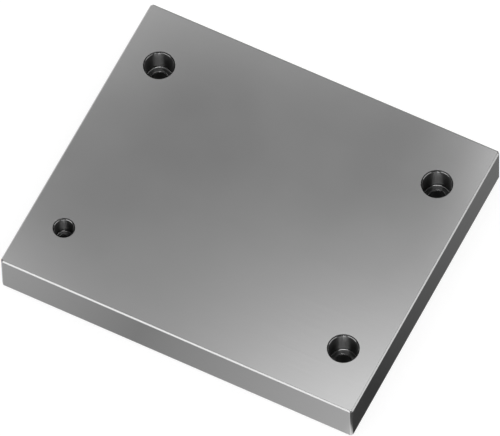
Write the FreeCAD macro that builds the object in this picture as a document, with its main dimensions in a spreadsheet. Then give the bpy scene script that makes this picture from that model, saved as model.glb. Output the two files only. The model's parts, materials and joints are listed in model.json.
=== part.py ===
import FreeCAD, Part
import os
import Sketcher

# Support plate: one ground steel plate with four counterbored holes right through it.
# Three holes take large cap screws. The fourth, at the front left corner, takes a small one,
# so the plate goes down only one way round.
# The origin is in the middle of the underside, X runs along the plate, Y across it and Z up.

# Driving dimensions in millimetres, with what each one sets.
SIZES = [
    ("plate_length", 200.0, "outline along X"),
    ("plate_width", 170.0, "outline along Y"),
    ("plate_thickness", 25.0, "underside to top face"),
    ("corner_chamfer", 1.2, "the four upright corners"),
    ("edge_chamfer", 0.8, "round the top and bottom faces"),
    ("inset_from_ends", 20.5, "hole axes in from the two short sides"),
    ("inset_from_sides", 31.5, "hole axes in from the two long sides"),
    ("large_seat_diameter", 15.0, "counterbore for the head of a large screw"),
    ("large_seat_depth", 14.0, "top face down to the large screw's seat"),
    ("large_clearance_diameter", 8.4, "hole for the shank of a large screw"),
    ("small_seat_diameter", 10.0, "counterbore for the head of the small screw"),
    ("small_seat_depth", 11.5, "top face down to the small screw's seat"),
    ("small_clearance_diameter", 5.3, "hole for the shank of the small screw"),
    ("mouth_chamfer", 0.8, "where a counterbore meets the top face"),
    ("seat_fillet", 0.7, "counterbore wall into its floor, left by the cutter's corner"),
    ("lip_chamfer", 0.5, "where a shank hole meets its seat, clear of the screw's neck"),
    ("exit_chamfer", 0.5, "where a shank hole meets the underside"),
]
LARGE_SCREWS = [(1, -1), (1, 1), (-1, 1)]  # which side of X and of Y each hole is on
SMALL_SCREWS = [(-1, -1)]
NEAR = FreeCAD.Base.Precision.approximation()  # measures that differ by less are the same

doc = FreeCAD.newDocument("SupportPlate")
sheet = doc.addObject("Spreadsheet::Sheet", "Dimensions")
for row, (alias, value, meaning) in enumerate(SIZES, start=1):
    sheet.set(f"A{row}", meaning)
    sheet.set(f"B{row}", str(value))
    sheet.setAlias(f"B{row}", alias)
doc.recompute()

body = doc.addObject("PartDesign::Body", "Plate")
body.Label = "support_plate"
body.Placement = FreeCAD.Placement()
planes = {feature.Role: feature for feature in body.Origin.OriginFeatures}


def level_sketch(name, height=None):
    """A sketch on the underside's plane, or lifted to a height given as an expression."""
    sketch = body.newObject("Sketcher::SketchObject", name)
    sketch.AttachmentSupport = [(planes["XY_Plane"], "")]
    sketch.MapMode = "FlatFace"
    if height:
        sketch.setExpression("AttachmentOffset.Base.z", height)
    return sketch


def dimension(sketch, name, constraint, expression):
    """Adds one constraint under a name and binds it to the sheet."""
    sketch.renameConstraint(sketch.addConstraint(constraint), name)
    sketch.setExpression(f"Constraints.{name}", expression)


def outline_sketch():
    """The plate's rectangle, centred on the origin."""
    sketch = level_sketch("OutlineSketch")
    x, y = sheet.plate_length / 2, sheet.plate_width / 2
    corners = [FreeCAD.Vector(*c, 0) for c in ((-x, -y), (x, -y), (x, y), (-x, y))]
    for start, end in zip(corners, corners[1:] + corners[:1]):
        sketch.addGeometry(Part.LineSegment(start, end))
    front, right, back, left = range(4)
    for line, following in ((front, right), (right, back), (back, left), (left, front)):
        sketch.addConstraint(Sketcher.Constraint("Coincident", line, 2, following, 1))
    for line in (front, back):
        sketch.addConstraint(Sketcher.Constraint("Horizontal", line))
    for line in (right, left):
        sketch.addConstraint(Sketcher.Constraint("Vertical", line))
    sketch.addConstraint(Sketcher.Constraint("Symmetric", front, 1, right, 2, -1, 1))
    length = Sketcher.Constraint("DistanceX", front, 1, front, 2, 2 * x)
    width = Sketcher.Constraint("DistanceY", right, 1, right, 2, 2 * y)
    dimension(sketch, "length", length, "Dimensions.plate_length")
    dimension(sketch, "width", width, "Dimensions.plate_width")
    return sketch


def screw_sketch(name, places, size):
    """Circles on the top face, one for each screw, placed by the hole insets."""
    sketch = level_sketch(name, "Dimensions.plate_thickness")
    x = sheet.plate_length / 2 - sheet.inset_from_ends
    y = sheet.plate_width / 2 - sheet.inset_from_sides
    diameter = sheet.get(f"{size}_seat_diameter")
    for circle, (side_x, side_y) in enumerate(places):
        centre = FreeCAD.Vector(side_x * x, side_y * y, 0)
        sketch.addGeometry(Part.Circle(centre, FreeCAD.Vector(0, 0, 1), diameter / 2))
        for way, side, distance, across, inset in (
            ("X", side_x, x, "plate_length", "inset_from_ends"),
            ("Y", side_y, y, "plate_width", "inset_from_sides"),
        ):
            origin, middle = (-1, 1), (circle, 3)
            ends = origin + middle if side > 0 else middle + origin
            offset = Sketcher.Constraint(f"Distance{way}", *ends, distance)
            place = f"Dimensions.{across} / 2 - Dimensions.{inset}"
            dimension(sketch, f"offset_{way}_{circle}", offset, place)
        seat = Sketcher.Constraint("Diameter", circle, diameter)
        dimension(sketch, f"seat_{circle}", seat, f"Dimensions.{size}_seat_diameter")
    return sketch


def screw_holes(name, places, size):
    """Counterbored holes right through the plate, cut down from the top face."""
    sketch = screw_sketch(f"{name}Sketch", places, size)
    doc.recompute()
    hole = body.newObject("PartDesign::Hole", name)
    hole.Profile = sketch
    hole.ThreadType = "None"
    hole.DepthType = "ThroughAll"
    hole.HoleCutType = "Counterbore"
    hole.setExpression("Diameter", f"Dimensions.{size}_clearance_diameter")
    hole.setExpression("HoleCutDiameter", f"Dimensions.{size}_seat_diameter")
    hole.setExpression("HoleCutDepth", f"Dimensions.{size}_seat_depth")
    doc.recompute()


def slope(edge):
    """How steep a straight edge is, from 0 where it lies level to 1 where it stands upright."""
    return abs(edge.tangentAt(edge.FirstParameter).z)


def is_ring(edge, diameter, height):
    """Whether an edge is a circle of that diameter at that height."""
    if not isinstance(edge.Curve, Part.Circle):
        return False
    return abs(edge.Curve.Radius - diameter / 2) < NEAR and abs(edge.CenterOfMass.z - height) < NEAR


def dress(kind, name, amount, wanted):
    """Chamfers or fillets every edge that is wanted by one of the sheet's sizes."""
    edges = [f"Edge{n}" for n, edge in enumerate(body.Shape.Edges, start=1) if wanted(edge)]
    if not edges:
        raise RuntimeError(f"{name} found no edge")
    base = body.Tip
    feature = body.newObject(f"PartDesign::{kind}", name)
    feature.Base = (base, edges)
    feature.setExpression("Size" if kind == "Chamfer" else "Radius", f"Dimensions.{amount}")
    doc.recompute()


# The block. Its upright corners are broken before the edges round its two faces.
blank = body.newObject("PartDesign::Pad", "Blank")
blank.Profile = outline_sketch()
blank.setExpression("Length", "Dimensions.plate_thickness")
doc.recompute()
dress("Chamfer", "UprightCorners", "corner_chamfer", lambda edge: slope(edge) > 1 - NEAR)
dress("Chamfer", "FaceEdges", "edge_chamfer", lambda edge: slope(edge) < NEAR)

# The screw holes, and then the broken edges and the rounded floor corner inside them.
screw_holes("LargeScrewHoles", LARGE_SCREWS, "large")
screw_holes("SmallScrewHole", SMALL_SCREWS, "small")
for size in ("large", "small"):
    prefix = size.capitalize()
    head = sheet.get(f"{size}_seat_diameter")
    shank = sheet.get(f"{size}_clearance_diameter")
    top = sheet.plate_thickness
    floor = top - sheet.get(f"{size}_seat_depth")
    dress("Chamfer", f"{prefix}Mouths", "mouth_chamfer", lambda edge: is_ring(edge, head, top))
    dress("Chamfer", f"{prefix}Lips", "lip_chamfer", lambda edge: is_ring(edge, shank, floor))
    dress("Chamfer", f"{prefix}Exits", "exit_chamfer", lambda edge: is_ring(edge, shank, 0))
    dress("Fillet", f"{prefix}Seats", "seat_fillet", lambda edge: is_ring(edge, head, floor))

# Every object has to be sound, every step has to change the solid, and one solid has to be left.
for item in doc.Objects:
    if "Invalid" in item.State or "Error" in item.State:
        raise RuntimeError(f"{item.Name} failed: {item.State}")
steps = [item for item in body.Group if item.isDerivedFrom("PartDesign::Feature")]
for before, after in zip(steps, steps[1:]):
    if abs(before.Shape.Volume - after.Shape.Volume) < NEAR:
        raise RuntimeError(f"{after.Name} changed nothing")
if body.Shape.isNull() or not body.Shape.isValid() or len(body.Shape.Solids) != 1:
    raise RuntimeError("the plate isn't one valid solid")

os.makedirs("parts", exist_ok=True)
body.Shape.exportStep(f"parts/{body.Label}.step")
print(f"{body.Label}: {body.Shape.Volume / 1000:.2f} cm3 in {len(body.Shape.Faces)} faces")
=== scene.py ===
import json
import math

import bmesh
import bpy
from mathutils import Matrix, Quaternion, Vector


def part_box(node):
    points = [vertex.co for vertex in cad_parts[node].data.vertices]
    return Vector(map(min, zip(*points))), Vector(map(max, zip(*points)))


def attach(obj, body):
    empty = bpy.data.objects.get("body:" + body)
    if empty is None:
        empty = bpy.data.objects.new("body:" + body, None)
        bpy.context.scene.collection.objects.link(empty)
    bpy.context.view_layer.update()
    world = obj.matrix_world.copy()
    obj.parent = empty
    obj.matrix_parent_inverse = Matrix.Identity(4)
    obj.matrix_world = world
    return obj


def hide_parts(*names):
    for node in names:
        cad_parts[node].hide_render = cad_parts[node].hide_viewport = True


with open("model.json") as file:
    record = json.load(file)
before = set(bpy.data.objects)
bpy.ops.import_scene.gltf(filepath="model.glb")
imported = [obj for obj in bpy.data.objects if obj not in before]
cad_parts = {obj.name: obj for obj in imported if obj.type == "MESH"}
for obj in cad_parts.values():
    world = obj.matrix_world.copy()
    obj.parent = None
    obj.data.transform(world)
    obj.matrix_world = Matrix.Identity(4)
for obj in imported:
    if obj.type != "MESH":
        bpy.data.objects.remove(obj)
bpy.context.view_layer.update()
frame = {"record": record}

# The plate's blank: one block of plain carbon steel, sawn from bar, milled square and ground all
# over. Its upright corners and the edges round both faces are cut back at 45 degrees, so that it
# can be handled.
MM = 0.001
CORNER_CHAMFER = 1.2 * MM
EDGE_CHAMFER = 0.8 * MM
WALL = 0.1  # a normal rises by less than this where a face stands upright
FLAT = 0.99  # and by more than this where a face lies level

# the plate's finishes, in the order of its materials
FACE, SIDE, BROKEN_EDGE, BORE, DRILL, MOUTH, STONED, SEAT = range(8)

low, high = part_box("support_plate")
size = high - low


def chamfer(shape, edges, amount):
    """Cuts edges of a shape back at 45 degrees by the same amount on both sides."""
    made = bmesh.ops.bevel(
        shape, geom=edges, offset=amount, affect="EDGES", segments=1, profile=0.5, material=-1
    )
    for face in made["faces"]:
        face.material_index = BROKEN_EDGE


blank = bmesh.new()
bmesh.ops.create_cube(blank, size=1)
bmesh.ops.scale(blank, vec=size, verts=blank.verts)
bmesh.ops.translate(blank, vec=(low + high) / 2, verts=blank.verts)
for face in blank.faces:
    face.material_index = FACE if abs(face.normal.z) > FLAT else SIDE
upright = [e for e in blank.edges if e.verts[0].co.z != e.verts[1].co.z]
chamfer(blank, upright, CORNER_CHAMFER)
level = [e for e in blank.edges if abs(e.verts[0].co.z - e.verts[1].co.z) < EDGE_CHAMFER]
chamfer(blank, level, EDGE_CHAMFER)

plate_mesh = bpy.data.meshes.new("plate")
blank.to_mesh(plate_mesh)
blank.free()
plate = bpy.data.objects.new("plate", plate_mesh)
bpy.context.scene.collection.objects.link(plate)

# The screw holes: each is drilled through, counterbored from the top face for a cap screw's head,
# and broken at its mouth, lip and exit. The counterbore's cutter has a rounded corner, which leaves
# a small fillet where the wall meets the floor.
SEAT_FILLET = 0.7 * MM
FILLET_STEPS = 6  # flats across the fillet
HOLE_STEPS = 144  # flats round a hole
OVERRUN = 2 * MM  # how far the cutting shape stands out of the plate above and below
MOUTH_DEPTH = 0.45 * MM  # the mouth's chamfer is painted dark, as painted shade, down to here, and stoned bright below
MERGE = 0.001 * MM

mounts = {mount["name"]: mount for mount in frame["record"]["mounts"]}


def bore_wall(name):
    """Axis point, radius, and the lowest and highest level of one of the record's round walls."""
    middle = Vector(mounts[name]["pos_m"])
    radius = mounts[name]["dims"]["r_mm"] * MM
    half = mounts[name]["dims"]["length_mm"] * MM / 2
    return middle, radius, middle.z - half, middle.z + half


def hole_profile(corner):
    """A point on a hole's axis, its seat's level, and half its outline from the top down."""
    middle, head, wall_low, wall_high = bore_wall("head_seat_" + corner)
    _, shank, exit_level, lip_level = bore_wall("screw_hole_" + corner)
    seat = wall_low - SEAT_FILLET
    lip = seat - lip_level
    above = high.z + OVERRUN
    below = low.z - OVERRUN
    stoned = high.z - MOUTH_DEPTH
    points = [(0, above), (head + above - wall_high, above)]
    points += [(head + stoned - wall_high, stoned), (head, wall_high)]
    for step in range(FILLET_STEPS + 1):
        turn = math.pi / 2 * step / FILLET_STEPS
        across = SEAT_FILLET * (math.cos(turn) - 1)
        rise = SEAT_FILLET * (1 - math.sin(turn))
        points.append((head + across, seat + rise))
    points += [(shank + lip, seat), (shank, lip_level), (shank, exit_level)]
    points += [(shank + exit_level - below, below), (0, below)]
    return middle, seat, points


cutters = bmesh.new()
for corner in ("front_right", "back_right", "back_left", "front_left"):
    middle, seat, points = hole_profile(corner)
    line = [cutters.verts.new((middle.x + across, middle.y, height)) for across, height in points]
    edges = [cutters.edges.new(pair) for pair in zip(line, line[1:])]
    bmesh.ops.spin(
        cutters, geom=line + edges, cent=(middle.x, middle.y, 0), axis=(0, 0, 1), dvec=(0, 0, 0),
        angle=2 * math.pi, steps=HOLE_STEPS, use_merge=True, use_duplicate=False,
    )
    # this hole's faces are those that still have the first finish
    for face in [face for face in cutters.faces if face.material_index == FACE]:
        face.normal_update()
        rise = abs(face.normal.z)
        height = face.calc_center_median().z
        if rise < WALL:
            face.material_index = BORE if height > seat else DRILL
        elif height > high.z - MOUTH_DEPTH:
            face.material_index = MOUTH
        elif rise > FLAT:
            face.material_index = SEAT
        elif high.z / 4 < height < seat:
            face.material_index = BROKEN_EDGE
        else:
            face.material_index = STONED
bmesh.ops.remove_doubles(cutters, verts=cutters.verts, dist=MERGE)
bmesh.ops.recalc_face_normals(cutters, faces=cutters.faces)
cutter_mesh = bpy.data.meshes.new("hole_cutters")
cutters.to_mesh(cutter_mesh)
cutters.free()
cutter = bpy.data.objects.new("hole_cutters", cutter_mesh)
bpy.context.scene.collection.objects.link(cutter)

# Deburring: after machining, every sharp edge is dressed with a fine stone. That leaves a tiny
# round, which catches the light as a thin line beside each chamfer and round each hole.
DEBURR = 0.1 * MM
DEBURR_STEPS = 2
SHARP = math.radians(30)

holes = plate.modifiers.new("screw_holes", "BOOLEAN")
holes.operation = "DIFFERENCE"
holes.solver = "EXACT"
holes.object = cutter
rounds = plate.modifiers.new("deburred_edges", "BEVEL")
rounds.width = DEBURR
rounds.segments = DEBURR_STEPS
rounds.limit_method = "ANGLE"
rounds.angle_limit = SHARP
rounds.harden_normals = True
for polygon in [*plate_mesh.polygons, *cutter_mesh.polygons]:
    polygon.use_smooth = True

# The finishes: the plate is bare carbon steel all over, and each tool has left its surface in its
# own state, from stoned bright to dull. Their greys are neutral. The dark greys of the bored walls,
# drilled walls and mouths are painted shade, and the chamfers' light grey is a painted highlight.
# painted highlight: the chamfers' light grey
EDGE_PAINTED_HIGHLIGHT = "E4E4E4"
STEEL = "C4C4C4"
SATIN_STEEL = "A4A4A4"
# painted shade: the bored walls' dark grey
BORE_PAINTED_SHADE = "6C6C6C"
# painted shade: the drilled walls' dark grey
DRILL_PAINTED_SHADE = "606060"
# painted shade: the mouths' near-black grey
MOUTH_PAINTED_SHADE = "303030"
MARKS_SPAN = (0.25, 0.75)  # nearly all of a noise's values lie inside its span
CLOUDS_SPAN = (0.3, 0.7)
MARKS_TONE = 0.02  # how far tool marks lighten and darken the steel


def srgb(code):
    """An sRGB hex colour as linear values with alpha."""
    levels = [int(code[i : i + 2], 16) / 255 for i in (0, 2, 4)]
    return [c / 12.92 if c <= 0.04045 else ((c + 0.055) / 1.055) ** 2.4 for c in levels] + [1]


def add(tree, kind, settings=None, links=None):
    """Adds a node, with settings by property or input name, and links from sockets to its inputs."""
    node = tree.nodes.new(kind)
    for name, value in (settings or {}).items():
        if isinstance(name, str) and hasattr(node, name):
            setattr(node, name, value)
        else:
            node.inputs[name].default_value = value
    for name, socket in (links or {}).items():
        tree.links.new(socket, node.inputs[name])
    return node


def steel_finish(name, colour, roughness, lay):
    """Gives the plate its next finish, with how far its lay drags out what is mirrored in it.

    Returns the finish's tree, its shader and the socket that says where a point is.
    """
    finish = bpy.data.materials.new(name)
    finish.use_nodes = True
    tree = finish.node_tree
    shader = tree.nodes["Principled BSDF"]
    shader.inputs["Base Color"].default_value = srgb(colour)
    shader.inputs["Metallic"].default_value = 1
    shader.inputs["Roughness"].default_value = roughness
    shader.inputs["Anisotropic"].default_value = lay
    plate_mesh.materials.append(finish)
    return tree, shader, add(tree, "ShaderNodeTexCoord").outputs["Object"]


def tool_marks(tree, shader, places, spacing, depth):
    """Marks left by a tool, spaced along X, Y and Z and cut to a depth, which vary the tone too."""
    spaced = add(tree, "ShaderNodeVectorMath", {"operation": "DIVIDE", 1: spacing}, {0: places})
    marks = add(
        tree, "ShaderNodeTexNoise", {"Scale": 1, "Detail": 3}, {"Vector": spaced.outputs["Vector"]}
    )
    relief = add(tree, "ShaderNodeBump", {"Distance": depth}, {"Height": marks.outputs["Fac"]})
    tree.links.new(relief.outputs["Normal"], shader.inputs["Normal"])
    value = add(
        tree, "ShaderNodeMapRange",
        {
            "From Min": MARKS_SPAN[0], "From Max": MARKS_SPAN[1],
            "To Min": 1 - MARKS_TONE, "To Max": 1 + MARKS_TONE,
        },
        {"Value": marks.outputs["Fac"]},
    )
    colour = list(shader.inputs["Base Color"].default_value)
    tone = add(
        tree, "ShaderNodeHueSaturation", {"Color": colour}, {"Value": value.outputs["Result"]}
    )
    tree.links.new(tone.outputs["Color"], shader.inputs["Base Color"])


def uneven_gloss(tree, shader, places, patch, change):
    """Clouds as wide as patch, in which the steel is a little rougher or smoother than it was."""
    clouds = add(tree, "ShaderNodeTexNoise", {"Scale": 1 / patch, "Detail": 2}, {"Vector": places})
    usual = shader.inputs["Roughness"].default_value
    gloss = add(
        tree, "ShaderNodeMapRange",
        {
            "From Min": CLOUDS_SPAN[0], "From Max": CLOUDS_SPAN[1],
            "To Min": usual - change, "To Max": usual + change,
        },
        {"Value": clouds.outputs["Fac"]},
    )
    tree.links.new(gloss.outputs["Result"], shader.inputs["Roughness"])


def from_axis(tree, places):
    """A point's level offset from the axis of its hole. The four axes mirror one another."""
    there = mounts["head_seat_back_right"]["pos_m"]
    unsigned = add(tree, "ShaderNodeVectorMath", {"operation": "ABSOLUTE"}, {0: places})
    offset = add(
        tree, "ShaderNodeVectorMath", {"operation": "SUBTRACT", 1: (there[0], there[1], 0)},
        {0: unsigned.outputs["Vector"]},
    )
    sides = add(tree, "ShaderNodeVectorMath", {"operation": "SIGN"}, {0: places})
    level_sides = add(
        tree, "ShaderNodeVectorMath", {"operation": "MULTIPLY", 1: (1, 1, 0)},
        {0: sides.outputs["Vector"]},
    )
    return add(
        tree, "ShaderNodeVectorMath", {"operation": "MULTIPLY"},
        {0: offset.outputs["Vector"], 1: level_sides.outputs["Vector"]},
    ).outputs["Vector"]


# Surface ground steel: satin, with fine lines along X. Real lines lie about 0.05 mm apart and are
# drawn 0.4 mm apart, so that they show. A dry film of oil scatters a little light all round, which
# makes the face look a touch less than metallic.
FACE_METAL = 0.88
tree, shader, places = steel_finish("ground_face", STEEL, 0.18, 0.3)
shader.inputs["Metallic"].default_value = FACE_METAL
across = add(tree, "ShaderNodeCombineXYZ", {"Y": 1})
tree.links.new(across.outputs["Vector"], shader.inputs["Tangent"])
tool_marks(tree, shader, places, (40 * MM, 0.4 * MM, 40 * MM), 0.0004 * MM)
uneven_gloss(tree, shader, places, 30 * MM, 0.012)

# The sides are ground too, a little rougher, with the same lines running level along each side.
tree, shader, places = steel_finish("ground_side", STEEL, 0.2, 0.3)
up = add(tree, "ShaderNodeCombineXYZ", {"Z": 1})
tree.links.new(up.outputs["Vector"], shader.inputs["Tangent"])
tool_marks(tree, shader, places, (40 * MM, 40 * MM, 0.4 * MM), 0.0006 * MM)
uneven_gloss(tree, shader, places, 25 * MM, 0.02)

# Milled chamfers: clean cut steel with short marks 0.2 mm apart. Their grey, the lightest on the
# plate, is a painted highlight that brightens their edge lines.
tree, shader, places = steel_finish("broken_edge", EDGE_PAINTED_HIGHLIGHT, 0.18, 0)
tool_marks(tree, shader, places, (3 * MM, 3 * MM, 0.2 * MM), 0.001 * MM)

# Bored walls: the tool leaves rings, drawn 0.25 mm apart where real ones lie 0.1 mm apart. They
# drag each reflection out into an upright band and leave the wall dark beside it. The wall's dark
# grey is painted shade in the hole.
tree, shader, places = steel_finish("bored_wall", BORE_PAINTED_SHADE, 0.5, 1)
up = add(
    tree, "ShaderNodeVectorMath", {"operation": "ADD", 1: (0, 0, 1)}, {0: from_axis(tree, places)}
)
tree.links.new(up.outputs["Vector"], shader.inputs["Tangent"])
tool_marks(tree, shader, places, (8 * MM, 8 * MM, 0.25 * MM), 0.002 * MM)

# Drilled walls: the twist drill leaves a torn, rough wall with coarser rings. Its dark grey is
# painted shade deep in the hole.
tree, shader, places = steel_finish("drilled_wall", DRILL_PAINTED_SHADE, 0.5, 0.5)
up = add(
    tree, "ShaderNodeVectorMath", {"operation": "ADD", 1: (0, 0, 1)}, {0: from_axis(tree, places)}
)
tree.links.new(up.outputs["Vector"], shader.inputs["Tangent"])
tool_marks(tree, shader, places, (2 * MM, 2 * MM, 0.4 * MM), 0.01 * MM)

# Countersunk mouths: the cutter chatters and leaves fine marks, and their near-black grey is painted
# shade, so that they look like dark rings.
tree, shader, places = steel_finish("countersunk_mouth", MOUTH_PAINTED_SHADE, 0.5, 0)
tool_marks(tree, shader, places, (0.5 * MM, 0.5 * MM, 0.5 * MM), 0.004 * MM)

# Stoned edges: rubbed with a fine stone, so smooth that a lamp shows in them as a thin arc.
tree, shader, places = steel_finish("stoned_edge", SATIN_STEEL, 0.12, 0)
uneven_gloss(tree, shader, places, 2 * MM, 0.03)

# Faced seats: the counterbore's end teeth leave rings round the hole, drawn 0.2 mm apart where real
# ones lie 0.05 mm apart, on a clean satin floor.
tree, shader, places = steel_finish("faced_seat", STEEL, 0.2, 0)
radius = add(tree, "ShaderNodeVectorMath", {"operation": "LENGTH"}, {0: from_axis(tree, places)})
tool_marks(tree, shader, radius.outputs["Value"], (0.2 * MM, 0.2 * MM, 0.2 * MM), 0.0008 * MM)

# The finished plate: the cuts and rounds are applied, which leaves one plain mesh.
bpy.context.view_layer.update()
solved = plate.evaluated_get(bpy.context.evaluated_depsgraph_get())
finished = bpy.data.meshes.new_from_object(solved)
plate.modifiers.clear()
plate.data = finished
bpy.data.objects.remove(cutter)
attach(plate, "root")
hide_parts("support_plate")

# The table: white paper, evenly lit, so that nothing on it draws the eye from the plate. In the
# steel it shows a painted reflection instead: painted light, brightest before the ends of the long
# side at -Y, and painted shade beyond the short side at +X. Inside the plate's outline it darkens as
# a painted shadow. From below it is clear, so that the underside shows, and in the underside too.
PAPER = "A0A0A0"
PAPER_GLOW = 0.74
FLOOR_HALF = 12.0
FLOOR_GAP = 0.02 * MM  # keeps the paper clear of the underside, where it would flicker
SHADOW_FADE = 4 * MM  # painted shadow: from the plate's outline inwards, the paper darkens over this distance
CLEAR_FADE = 2 * MM  # and to the underside it turns clear over this one
FRONT_TONE = 0.32  # painted reflection tone before the long side at its dullest, and how much brighter it gets
FRONT_GAIN = 0.29
FRONT_DULLEST = -25 * MM
FRONT_REACH = 0.6 * size.x
CORNER_GAIN = 0.3  # a painted highlight, added near the corner between the two sides
CORNER_START = 0.47 * size.x
CORNER_END = 0.52 * size.x
SHADE_TONE = (0.045, 0.20)  # painted shade beyond the short side, at its two ends
SHADE_START = -55 * MM  # where along that side the tone starts to rise
SHADE_EDGE = 3 * MM  # how wide the edge of the shade is

floor_shape = bmesh.new()
bmesh.ops.create_grid(floor_shape, x_segments=1, y_segments=1, size=FLOOR_HALF)
bmesh.ops.translate(floor_shape, vec=(0, 0, -FLOOR_GAP), verts=floor_shape.verts)
floor_mesh = bpy.data.meshes.new("floor")
floor_shape.to_mesh(floor_mesh)
floor_shape.free()
floor = bpy.data.objects.new("floor", floor_mesh)
bpy.context.scene.collection.objects.link(floor)

paper = bpy.data.materials.new("white_paper")
floor_mesh.materials.append(paper)
paper.use_nodes = True
tree = paper.node_tree
tree.nodes.clear()
places = add(tree, "ShaderNodeTexCoord").outputs["Object"]
place = add(tree, "ShaderNodeSeparateXYZ", {}, {"Vector": places})
rays = add(tree, "ShaderNodeLightPath")

# how far a point is outside the plate's outline, below 0 inside it
unsigned = add(tree, "ShaderNodeVectorMath", {"operation": "ABSOLUTE"}, {0: places})
outside = add(
    tree, "ShaderNodeVectorMath", {"operation": "SUBTRACT", 1: (size.x / 2, size.y / 2, 0)},
    {0: unsigned.outputs["Vector"]},
)
ways = add(tree, "ShaderNodeSeparateXYZ", {}, {"Vector": outside.outputs["Vector"]})
reach = add(
    tree, "ShaderNodeMath", {"operation": "MAXIMUM"}, {0: ways.outputs["X"], 1: ways.outputs["Y"]}
)
uncovered = add(
    tree, "ShaderNodeMapRange", {"From Min": -SHADOW_FADE, "From Max": 0},
    {"Value": reach.outputs["Value"]},
)
covered = add(
    tree, "ShaderNodeMapRange", {"From Min": -CLEAR_FADE, "From Max": 0, "To Min": 1, "To Max": 0},
    {"Value": reach.outputs["Value"]},
)

# to the eye: plain paper, darkened inside the plate's outline as a painted shadow
lit = add(tree, "ShaderNodeBsdfDiffuse", {"Color": srgb(PAPER)})
own = add(
    tree, "ShaderNodeMath", {"operation": "MULTIPLY", 1: PAPER_GLOW},
    {0: uncovered.outputs["Result"]},
)
glow = add(tree, "ShaderNodeEmission", {}, {"Strength": own.outputs["Value"]})
seen = add(tree, "ShaderNodeAddShader", {}, {0: lit.outputs["BSDF"], 1: glow.outputs["Emission"]})

# in the steel: a painted reflection, bright before the long side, with painted shade beyond a line
# out from the front corner and a painted shadow inside the plate's outline
along = add(
    tree, "ShaderNodeMath", {"operation": "SUBTRACT", 1: FRONT_DULLEST}, {0: place.outputs["X"]}
)
from_dullest = add(
    tree, "ShaderNodeMath", {"operation": "ABSOLUTE"}, {0: along.outputs["Value"]}
)
front = add(
    tree, "ShaderNodeMapRange",
    {"From Max": FRONT_REACH, "To Min": FRONT_TONE, "To Max": FRONT_TONE + FRONT_GAIN},
    {"Value": from_dullest.outputs["Value"]},
)
corner = add(
    tree, "ShaderNodeMapRange",
    {"From Min": CORNER_START, "From Max": CORNER_END, "To Max": CORNER_GAIN},
    {"Value": place.outputs["X"]},
)
before = add(
    tree, "ShaderNodeMath", {"operation": "ADD"},
    {0: front.outputs["Result"], 1: corner.outputs["Result"]},
)
shade = add(
    tree, "ShaderNodeMapRange",
    {
        "From Min": SHADE_START, "From Max": size.y / 2,
        "To Min": SHADE_TONE[0], "To Max": SHADE_TONE[1],
    },
    {"Value": place.outputs["Y"]},
)
past_corner = add(
    tree, "ShaderNodeMath", {"operation": "ADD"}, {0: place.outputs["X"], 1: place.outputs["Y"]}
)
front_corner = (size.x - size.y) / 2
shaded = add(
    tree, "ShaderNodeMapRange", {"From Min": front_corner, "From Max": front_corner + SHADE_EDGE},
    {"Value": past_corner.outputs["Value"]},
)
tone = add(
    tree, "ShaderNodeMix", {"data_type": "FLOAT"},
    {0: shaded.outputs["Result"], 2: before.outputs["Value"], 3: shade.outputs["Result"]},
)
dimmed = add(
    tree, "ShaderNodeMath", {"operation": "MULTIPLY"},
    {0: tone.outputs[0], 1: uncovered.outputs["Result"]},
)
mirrored = add(tree, "ShaderNodeEmission", {}, {"Strength": dimmed.outputs["Value"]})
paper_shader = add(
    tree, "ShaderNodeMixShader", {},
    {0: rays.outputs["Is Glossy Ray"], 1: seen.outputs["Shader"], 2: mirrored.outputs["Emission"]},
)

# from below, and in the underside: clear
in_underside = add(
    tree, "ShaderNodeMath", {"operation": "MULTIPLY"},
    {0: covered.outputs["Result"], 1: rays.outputs["Is Glossy Ray"]},
)
side = add(tree, "ShaderNodeNewGeometry")
clearness = add(
    tree, "ShaderNodeMath", {"operation": "MAXIMUM"},
    {0: in_underside.outputs["Value"], 1: side.outputs["Backfacing"]},
)
clear = add(tree, "ShaderNodeBsdfTransparent")
floor_shader = add(
    tree, "ShaderNodeMixShader", {},
    {0: clearness.outputs["Value"], 1: paper_shader.outputs["Shader"], 2: clear.outputs["BSDF"]},
)
add(tree, "ShaderNodeOutputMaterial", {}, {"Surface": floor_shader.outputs["Shader"]})

# The room: white to the camera and on the paper. In the steel it is dim, darkest towards the lights
# before the plate and lighter behind it, so that only the lights shine in its edges.
ROOM = "FBFBFB"
WHITE = "FFFFFF"
NEAR_SIDE = Vector((0.486, -0.874, 0))
NEAR_TONE = 0.03
FAR_TONE = 0.3
CEILING_TONE = 0.08
NEAR_START = 0.6  # how far a direction leans to the near side where the near tone starts
FAR_START = -0.95  # and where the far tone starts, with 1 and -1 pointing straight there and away
WALL_TOP = 0.4  # the walls turn into the ceiling between these two rises of a direction
CEILING_START = 0.7

world = bpy.data.worlds.new("studio")
bpy.context.scene.world = world
world.use_nodes = True
tree = world.node_tree
tree.nodes.clear()
white = add(tree, "ShaderNodeBackground", {"Color": srgb(ROOM), "Strength": 1.0})
places = add(tree, "ShaderNodeTexCoord").outputs["Generated"]
place = add(tree, "ShaderNodeSeparateXYZ", {}, {"Vector": places})
nearness = add(
    tree, "ShaderNodeVectorMath", {"operation": "DOT_PRODUCT", 1: NEAR_SIDE}, {0: places}
)
walls = add(
    tree, "ShaderNodeMapRange",
    {"From Min": FAR_START, "From Max": NEAR_START, "To Min": FAR_TONE, "To Max": NEAR_TONE},
    {"Value": nearness.outputs["Value"]},
)
in_steel = add(
    tree, "ShaderNodeMapRange",
    {
        "interpolation_type": "SMOOTHSTEP", "From Min": WALL_TOP, "From Max": CEILING_START,
        "To Max": CEILING_TONE,
    },
    {"Value": place.outputs["Z"], "To Min": walls.outputs["Result"]},
)
dim = add(
    tree, "ShaderNodeBackground", {"Color": srgb(WHITE)}, {"Strength": in_steel.outputs["Result"]}
)
rays = add(tree, "ShaderNodeLightPath")
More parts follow.
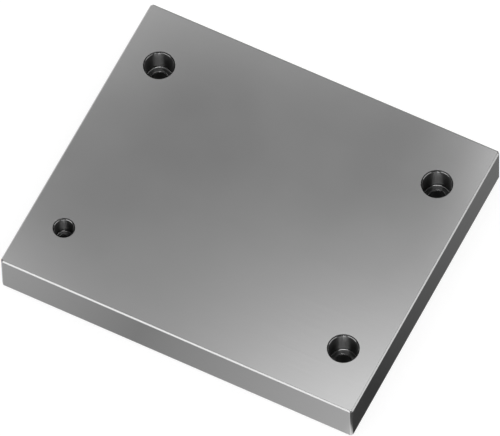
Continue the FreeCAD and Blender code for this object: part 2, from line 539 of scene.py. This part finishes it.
room = add(
    tree, "ShaderNodeMixShader", {},
    {
        0: rays.outputs["Is Glossy Ray"],
        1: white.outputs["Background"],
        2: dim.outputs["Background"],
    },
)
add(tree, "ShaderNodeOutputWorld", {}, {"Surface": room.outputs["Shader"]})

# The lights: glowing cards that only the steel sees. A white screen hangs over the plate, lit in
# soft pools that its top face shows as slow changes of tone, and softboxes stand round it, which
# light up its chamfers and the walls of its holes.
SCREEN_BASE = 0.155
SCREEN_BRIGHTEST = 1.3
SCREEN_HALF = 0.22
SCREEN_MIDDLE = (-0.14, 0.23, 0.45)
POOLS = [  # each pool's middle on the screen and its radius, in metres, and how much it adds
    ((0.291, -0.056, 0.45), 0.45, 4.50),
    ((-0.142, 0.410, 0.45), 0.15, 0.85),
    ((-0.600, 0.403, 0.45), 0.46, 4.24),
    ((-0.364, -0.133, 0.45), 0.35, 4.50),
    ((0.114, 0.347, 0.45), 0.17, 4.50),
    ((-0.048, 0.109, 0.45), 0.21, 0.40),
    ((0.020, 0.090, 0.45), 0.16, 0.20),
    ((-0.235, 0.305, 0.45), 0.08, 0.10),
]
SOFTBOXES = [  # azimuth from -Y, elevation and roll in degrees, half sides in metres, and glow
    ("front_softbox", -25, 22, 15, 0.66, 0.13, 1.15),
    ("side_softbox", 93, 20, -16, 0.68, 0.13, 0.85),
    ("bore_softbox", 29, 46, 0, 0.55, 0.18, 5.5),
    ("low_softbox", 29, 14, 0, 0.55, 0.23, 1.2),
    ("streak_lamp", 28, 14, 0, 0.24, 0.23, 9.0),
    ("zenith_softbox", 29, 80, 0, 0.35, 0.35, 0.2),
]
SOFTBOX_DISTANCE = 1.3  # from the middle of the plate's underside, in metres


def light_card(name, half_width, half_height):
    """A card in its own XY plane that only the steel sees, with its shader's tree and emission."""
    shape = bmesh.new()
    bmesh.ops.create_grid(shape, x_segments=1, y_segments=1, size=1)
    bmesh.ops.scale(shape, vec=(half_width, half_height, 1), verts=shape.verts)
    mesh = bpy.data.meshes.new(name)
    shape.to_mesh(mesh)
    shape.free()
    card = bpy.data.objects.new(name, mesh)
    bpy.context.scene.collection.objects.link(card)
    card.visible_camera = False
    card.visible_diffuse = False
    card.visible_shadow = False
    shine = bpy.data.materials.new(name)
    mesh.materials.append(shine)
    shine.use_nodes = True
    tree = shine.node_tree
    tree.nodes.clear()
    emission = add(tree, "ShaderNodeEmission")
    add(tree, "ShaderNodeOutputMaterial", {}, {"Surface": emission.outputs["Emission"]})
    return card, tree, emission


screen, tree, emission = light_card("overhead_screen", SCREEN_HALF, SCREEN_HALF)
screen.location = SCREEN_MIDDLE
places = add(tree, "ShaderNodeTexCoord").outputs["Object"]
total = add(tree, "ShaderNodeValue").outputs["Value"]
total.default_value = SCREEN_BASE
for middle, radius, amount in POOLS:
    there = Vector(middle) - Vector(SCREEN_MIDDLE)
    away = add(tree, "ShaderNodeVectorMath", {"operation": "DISTANCE", 1: there}, {0: places})
    pool = add(
        tree, "ShaderNodeMapRange",
        {"interpolation_type": "SMOOTHSTEP", "From Min": radius, "From Max": 0, "To Max": amount},
        {"Value": away.outputs["Value"]},
    )
    total = add(
        tree, "ShaderNodeMath", {"operation": "ADD"}, {0: total, 1: pool.outputs["Result"]}
    ).outputs["Value"]
capped = add(tree, "ShaderNodeMath", {"operation": "MINIMUM", 1: SCREEN_BRIGHTEST}, {0: total})
tree.links.new(capped.outputs["Value"], emission.inputs["Strength"])

for name, azimuth, elevation, roll, half_width, half_height, strength in SOFTBOXES:
    card, tree, emission = light_card(name, half_width, half_height)
    emission.inputs["Strength"].default_value = strength
    turn = math.radians(azimuth)
    rise = math.radians(elevation)
    level_out = Vector((math.sin(turn), -math.cos(turn), 0))
    out = level_out * math.cos(rise) + Vector((0, 0, math.sin(rise)))
    card.location = out * SOFTBOX_DISTANCE
    card.rotation_mode = "QUATERNION"
    rolled = Quaternion((0, 0, 1), math.radians(roll))
    card.rotation_quaternion = out.to_track_quat("Z", "Y") @ rolled

# The camera stands far off with a long lens, as the photograph's did, so that parallel edges hardly
# converge.
AZIMUTH, ELEVATION, ROLL = (math.radians(angle) for angle in (28.339, 60.260, -1.841))
AIM = Vector((2.92, -6.45, 25.0)) * MM
DISTANCE = 6110.5 * MM
SENSOR = 36.0  # the sensor's width and the lens's length, in millimetres as Blender takes them
LENS = 864.0
CLIP_START = 0.1
CLIP_END = 40.0

camera_data = bpy.data.cameras.new("camera")
camera_data.sensor_width = SENSOR
camera_data.lens = LENS
camera_data.clip_start = CLIP_START
camera_data.clip_end = CLIP_END
camera = bpy.data.objects.new("camera", camera_data)
bpy.context.scene.collection.objects.link(camera)
bpy.context.scene.camera = camera
level_back = Vector((math.sin(AZIMUTH), -math.cos(AZIMUTH), 0))
back = level_back * math.cos(ELEVATION) + Vector((0, 0, math.sin(ELEVATION)))
camera.location = AIM + back * DISTANCE
camera.rotation_mode = "QUATERNION"
camera.rotation_quaternion = back.to_track_quat("Z", "Y") @ Quaternion((0, 0, 1), ROLL)
bpy.context.scene.view_settings.view_transform = "Standard"
